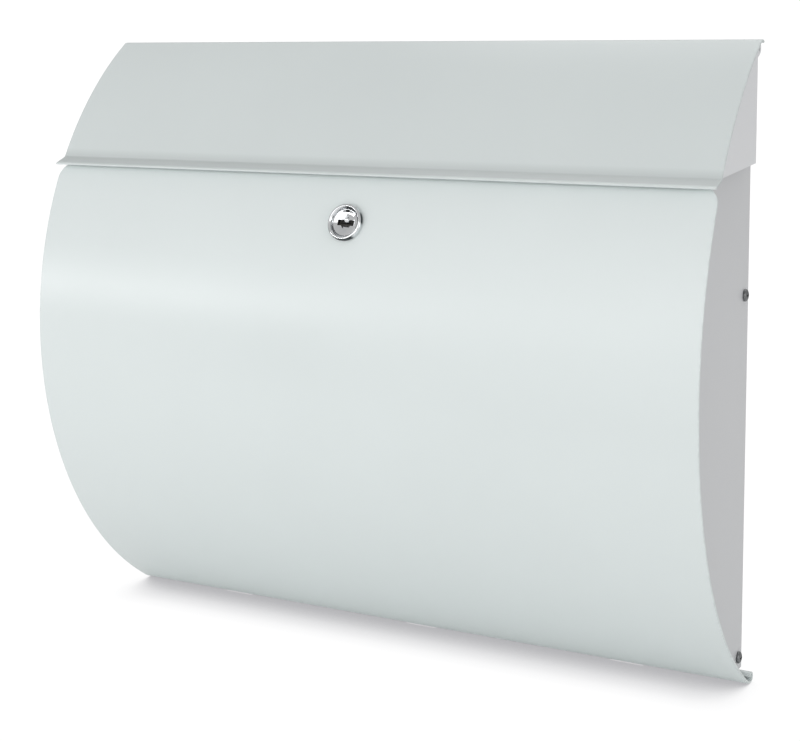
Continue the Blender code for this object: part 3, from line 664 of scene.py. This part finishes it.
# dark reflections painted on the lock's head as arcs: inner radius, outer radius, middle angle, half width
# in degrees
DARK_ARCS = (
    (6.95 * MM, 7.75 * MM, 35.0, 62.0),
    (8.9 * MM, 9.35 * MM, -105.0, 58.0),
    (9.2 * MM, 9.35 * MM, 15.0, 22.0),
)
ARC_FADE = 8.0  # degrees
KEY_SLOT = (4.6 * MM, 1.45 * MM)  # half its length and half its height
KEY_SLOT_DEPTH = 12.0 * MM
KEY_WELL = 2.7 * MM
KEY_WELL_DEPTH = 1.6 * MM
KEY_WELL_DROP = 0.5 * MM  # how far the well's centre lies below the slot's
FLAP_GAP = 0.1 * MM
FLAP_FOOT = -4.0 * MM
HUB_RADIUS = 1.75 * MM
HUB_CENTRE = -0.9 * MM
HUB_FOOT = -2.4 * MM
DOME_ANGLES = [math.radians(9.0 * i) for i in range(11)]
THREAD_CUT = 0.45
LOCK_PITCH = 1.0 * MM
COLLAR = 0.25 * MM  # the head's underside above the door
TAIL_HALF = 3.0 * MM
TAIL_LENGTH = 2.6 * MM


def make_barrel():
    """The chromed head, rolled over at its rim and dished to the plug, and the threaded barrel."""
    centre = (BEZEL_RADIUS - BEZEL_ROLL, BEZEL_HEIGHT - BEZEL_ROLL)
    rim = circle_arc(centre, BEZEL_ROLL, math.radians(95.0), 0.0)
    dish = [
        (BARREL_BORE, 0.2 * MM),
        (BARREL_BORE + 0.05 * MM, 0.9 * MM),
        (BARREL_BORE + 0.15 * MM, 1.3 * MM),
        (DISH_RADIUS + 0.2 * MM, 2.35 * MM),
        (DISH_RADIUS + 0.35 * MM, 2.55 * MM),
        (DISH_RADIUS + 0.55 * MM, BEZEL_HEIGHT - 0.02 * MM),
    ]
    profile = [(BARREL_BORE, -BARREL_LENGTH)] + dish + rim + [(BEZEL_RADIUS, COLLAR + 0.1 * MM)]
    profile += [(BEZEL_RADIUS - 0.1 * MM, COLLAR), (BARREL_RADIUS, COLLAR)]
    for i in range(1, int(BARREL_LENGTH / LOCK_PITCH) - 1):
        top = -LOCK_PITCH * i
        profile += [
            (BARREL_RADIUS, top),
            (BARREL_RADIUS - THREAD_CUT * MM, top - THREAD_CUT * LOCK_PITCH),
            (BARREL_RADIUS, top - 2 * THREAD_CUT * LOCK_PITCH),
        ]
    profile += [(BARREL_RADIUS - 0.3 * MM, -BARREL_LENGTH), (BARREL_BORE, -BARREL_LENGTH)]
    head = turned("lock_head", profile, CHROME, lock_place(), 96)
    mark_dark_arcs(head, lock_place())
    put(head, "door", "lock_barrel")
    put(refined("lock_nut", ZINC, 0.4 * MM, 3), "door", "lock_nut")


def mark_dark_arcs(head, place):
    """A point attribute for painted dark arcs. They stand in for dark reflections in the head's chrome."""
    back = place.inverted()
    arcs = head.data.attributes.new("dark_arc", "FLOAT", "POINT")
    for vertex, value in zip(head.data.vertices, arcs.data):
        spot = back @ vertex.co
        radius = math.hypot(spot.x, spot.y)
        angle = math.degrees(math.atan2(spot.y, spot.x))
        for inner, outer, middle, half in DARK_ARCS:
            if inner <= radius <= outer and spot.z > 0.0:
                away = abs((angle - middle + 180.0) % 360.0 - 180.0)
                value.value = max(value.value, min(1.0, max(0.0, (half - away) / ARC_FADE)))


def make_plug():
    """The plug with its keyway: a level slot across a round well, closed by a shutter."""
    place = lock_place()
    low = -BARREL_LENGTH
    profile = [
        (0.0, 0.15 * MM),
        (3.0 * MM, 0.18 * MM),
        (4.4 * MM, 0.3 * MM),
        (5.4 * MM, 0.62 * MM),
        (PLUG_FACE - 0.35 * MM, 1.05 * MM),
        (PLUG_FACE - 0.12 * MM, 1.1 * MM),
        (PLUG_FACE, 0.95 * MM),
        (PLUG_FACE, -PLUG_FACE_DEPTH),
        (PLUG_RADIUS, -PLUG_FACE_DEPTH - 0.2 * MM),
        (PLUG_RADIUS, low),
        (0.0, low),
    ]
    plug = turned("lock_plug_face", profile, CHROME, place, 96)
    long, tall = KEY_SLOT
    top = 4.0 * MM
    slot = box("slot", (-long, -tall, -KEY_SLOT_DEPTH), (long, tall, top), CHROME)
    slot.data.transform(place)
    well_profile = [(0.0, top), (KEY_WELL, top), (KEY_WELL, -KEY_WELL_DEPTH), (0.0, -KEY_WELL_DEPTH)]
    well_place = place @ Matrix.Translation((0.0, -KEY_WELL_DROP, 0.0))
    cut(plug, slot, turned("well", well_profile, CHROME, well_place, 48))
    round_edges(plug, SMALL_EDGE, 35.0)
    put(plug, "lock", "lock_plug")
    make_keyway(place)
    tail_end = low - TAIL_LENGTH
    tail = box(
        "lock_plug_tail",
        (-TAIL_HALF, -TAIL_HALF, tail_end),
        (TAIL_HALF, TAIL_HALF, low + 0.2 * MM),
        ZINC,
    )
    tail.data.transform(place)
    round_edges(tail)
    put(tail, "lock")
    put(refined("lock_cam", ZINC), "lock", "lock_cam")
    put(refined("cam_screw", ZINC, 0.15 * MM), "lock", "cam_screw")


def make_keyway(place):
    """The two flaps of the shutter behind the slot, and the domed hub above it."""
    long, tall = KEY_SLOT
    reach = long - 2 * FLAP_GAP
    flaps = (
        ("key_shutter_upper", FLAP_GAP, tall - FLAP_GAP, -0.9 * MM),
        ("key_shutter_lower", -tall + FLAP_GAP, -FLAP_GAP, -0.7 * MM),
    )
    for name, bottom, top, front in flaps:
        flap = box(name, (-reach, bottom, FLAP_FOOT), (reach, top, front), SHUTTER)
        flap.data.transform(place)
        round_edges(flap, 0.3 * MM, 40.0, 3)
        put(flap, "lock")
    dome = [(HUB_RADIUS * math.sin(a), HUB_CENTRE + HUB_RADIUS * math.cos(a)) for a in DOME_ANGLES]
    dome += [(HUB_RADIUS, HUB_FOOT), (0.0, HUB_FOOT)]
    hub_place = place @ Matrix.Translation((0.0, HUB_RADIUS, 0.0))
    put(turned("key_hub", dome, CHROME, hub_place, 32), "lock")


# Studio


WORLD_LIGHT = 0.505
WHITE_SEEN = 1.05  # emission of the backdrop and the floor as the camera sees them, just past white
FLOOR_TONE = (0.92, 0.92, 0.92)
# glow the floor gives off to all but camera rays: painted bounce light on the box from below
FLOOR_BOUNCE = 0.032
FLOOR_GAP = 0.5 * MM
# the painted contact shadow on the floor: how far it reaches, and its ramp over occlusion
FLOOR_SHADE_REACH = 30.0 * MM
FLOOR_SHADE = (
    (0.13, (0.435, 0.435, 0.45)),
    (0.21, (0.54, 0.54, 0.552)),
    (0.36, (0.73, 0.73, 0.74)),
    (0.60, (0.90, 0.90, 0.905)),
    (1.00, (1.0, 1.0, 1.0)),
)
# name, place, aim, size, power in watts
LIGHTS = (
    ("front_softbox", (0.0, -2.4, 0.45), (0.0, 0.0, 0.02), (2.6, 0.7), 9.2),
    ("high_softbox", (0.0, -2.2, 1.1), (0.0, 0.0, 0.02), (2.6, 0.9), 6.0),
    ("left_strip", (-1.0, -1.1, 0.2), (-0.1, 0.0, 0.03), (0.8, 0.12), 2.4),
    ("right_softbox", (2.2, -0.7, 0.4), (0.0, 0.0, 0.0), (1.0, 1.0), 6.4),
    ("top_rear_softbox", (0.0, 1.0, 1.8), (0.0, 0.0, 0.1), (2.0, 1.0), 9.6),
)
# black cards that only reflections see: name, place, aim, size
FLAGS = (
    ("low_left_flag", (-0.30, -0.55, -0.10), (0.0, -0.07, 0.07), (0.16, 0.34)),
    ("right_flag", (0.50, -0.42, 0.20), (0.0, -0.07, 0.07), (0.14, 0.30)),
    ("foot_flag", (0.05, -0.40, -0.15), (0.0, -0.07, 0.07), (0.30, 0.10)),
)
CAMERA_PLACE = (0.41050, -0.77816, 0.17737)
CAMERA_AZIMUTH = math.radians(28.543)
CAMERA_TILT = math.radians(-9.692)
CAMERA_ROLL = math.radians(-0.954)
CAMERA_LENS = 75.109
CAMERA_SHIFT = -0.1
SENSOR = 36.0


def make_camera():
    forward = Vector((
        -math.sin(CAMERA_AZIMUTH) * math.cos(CAMERA_TILT),
        math.cos(CAMERA_AZIMUTH) * math.cos(CAMERA_TILT),
        math.sin(CAMERA_TILT),
    ))
    level = forward.cross(Vector((0, 0, 1))).normalized()
    upright = level.cross(forward)
    right = level * math.cos(CAMERA_ROLL) + upright * math.sin(CAMERA_ROLL)
    up = upright * math.cos(CAMERA_ROLL) - level * math.sin(CAMERA_ROLL)
    camera = bpy.data.objects.new("camera", bpy.data.cameras.new("camera"))
    bpy.context.scene.collection.objects.link(camera)
    camera.data.sensor_width = SENSOR
    camera.data.lens = CAMERA_LENS
    camera.data.shift_y = CAMERA_SHIFT
    camera.data.clip_start = 0.05
    turn = Matrix((right, up, -forward)).transposed().to_4x4()
    camera.matrix_world = Matrix.Translation(CAMERA_PLACE) @ turn
    bpy.context.scene.camera = camera


def area_light(name, place, aim, size, power):
    light = bpy.data.lights.new(name, "AREA")
    light.shape = "RECTANGLE"
    light.size, light.size_y = size
    light.energy = power
    obj = bpy.data.objects.new(name, light)
    bpy.context.scene.collection.objects.link(obj)
    place, aim = Vector(place), Vector(aim)
    obj.location = place
    obj.rotation_euler = (aim - place).to_track_quat("-Z", "Y").to_euler()


def flag(name, place, aim, size, material):
    shape = bmesh.new()
    bmesh.ops.create_grid(shape, x_segments=1, y_segments=1, size=0.5)
    bmesh.ops.scale(shape, verts=shape.verts, vec=(size[0], size[1], 1.0))
    obj = from_bmesh(name, shape, material)
    obj.location = place
    obj.rotation_euler = (Vector(aim) - Vector(place)).to_track_quat("-Z", "Y").to_euler()
    obj.visible_camera = False
    obj.visible_diffuse = False
    obj.visible_shadow = False
    obj.visible_transmission = False


def make_studio():
    scene = bpy.context.scene
    scene.view_settings.view_transform = "Standard"
    scene.view_settings.look = "None"
    world = bpy.data.worlds.new("studio")
    scene.world = world
    world.use_nodes = True
    tree = world.node_tree
    background = tree.nodes["Background"]
    background.inputs["Color"].default_value = (1.0, 1.0, 1.0, 1.0)
    background.inputs["Strength"].default_value = WORLD_LIGHT
    seen = tree.nodes.new("ShaderNodeBackground")
    seen.inputs["Color"].default_value = (1.0, 1.0, 1.0, 1.0)
    seen.inputs["Strength"].default_value = WHITE_SEEN
    choose = tree.nodes.new("ShaderNodeMixShader")
    rays = tree.nodes.new("ShaderNodeLightPath")
    tree.links.new(rays.outputs["Is Camera Ray"], choose.inputs["Fac"])
    tree.links.new(background.outputs["Background"], choose.inputs[1])
    tree.links.new(seen.outputs["Background"], choose.inputs[2])
    tree.links.new(choose.outputs["Shader"], tree.nodes["World Output"].inputs["Surface"])
    for light in LIGHTS:
        area_light(*light)
    black = Nodes("black_card").finish(Base_Color=(0.01, 0.01, 0.01, 1.0), Roughness=1.0)
    for card in FLAGS:
        flag(*card, black)
    make_floor()


def make_floor():
    """A pale floor just under the box. The camera sees it glowing white, with a painted soft shadow close to
    the box.
    """
    nodes = Nodes("pale_floor")
    seen = nodes.add("ShaderNodeLightPath").outputs["Is Camera Ray"]
    grain = nodes.noise(2.0, 2.0)
    pale = nodes.ramp(grain, ((0.3, scaled(FLOOR_TONE, 0.98)), (0.7, FLOOR_TONE)))
    # painted contact shadow: the floor's glow drops where the box is near
    near = nodes.add("ShaderNodeAmbientOcclusion", samples=16)
    near.inputs["Distance"].default_value = FLOOR_SHADE_REACH
    shade = nodes.ramp(near.outputs["AO"], FLOOR_SHADE)
    nodes.finish(
        Base_Color=nodes.mix(seen, pale, (0.0, 0.0, 0.0)),
        Roughness=0.9,
        Specular_IOR_Level=0.0,
        Emission_Color=nodes.mix(seen, (FLOOR_BOUNCE,) * 3, shade),
        Emission_Strength=WHITE_SEEN,
    )
    shape = bmesh.new()
    bmesh.ops.create_grid(shape, x_segments=8, y_segments=8, size=6.0)
    floor = from_bmesh("floor", shape, nodes.material)
    floor.location = (0.0, 0.0, CAD_BOX[0][2] - FLOOR_GAP)


make_lid()
make_door()
make_box()
make_barrel()
make_plug()
make_camera()
make_studio()
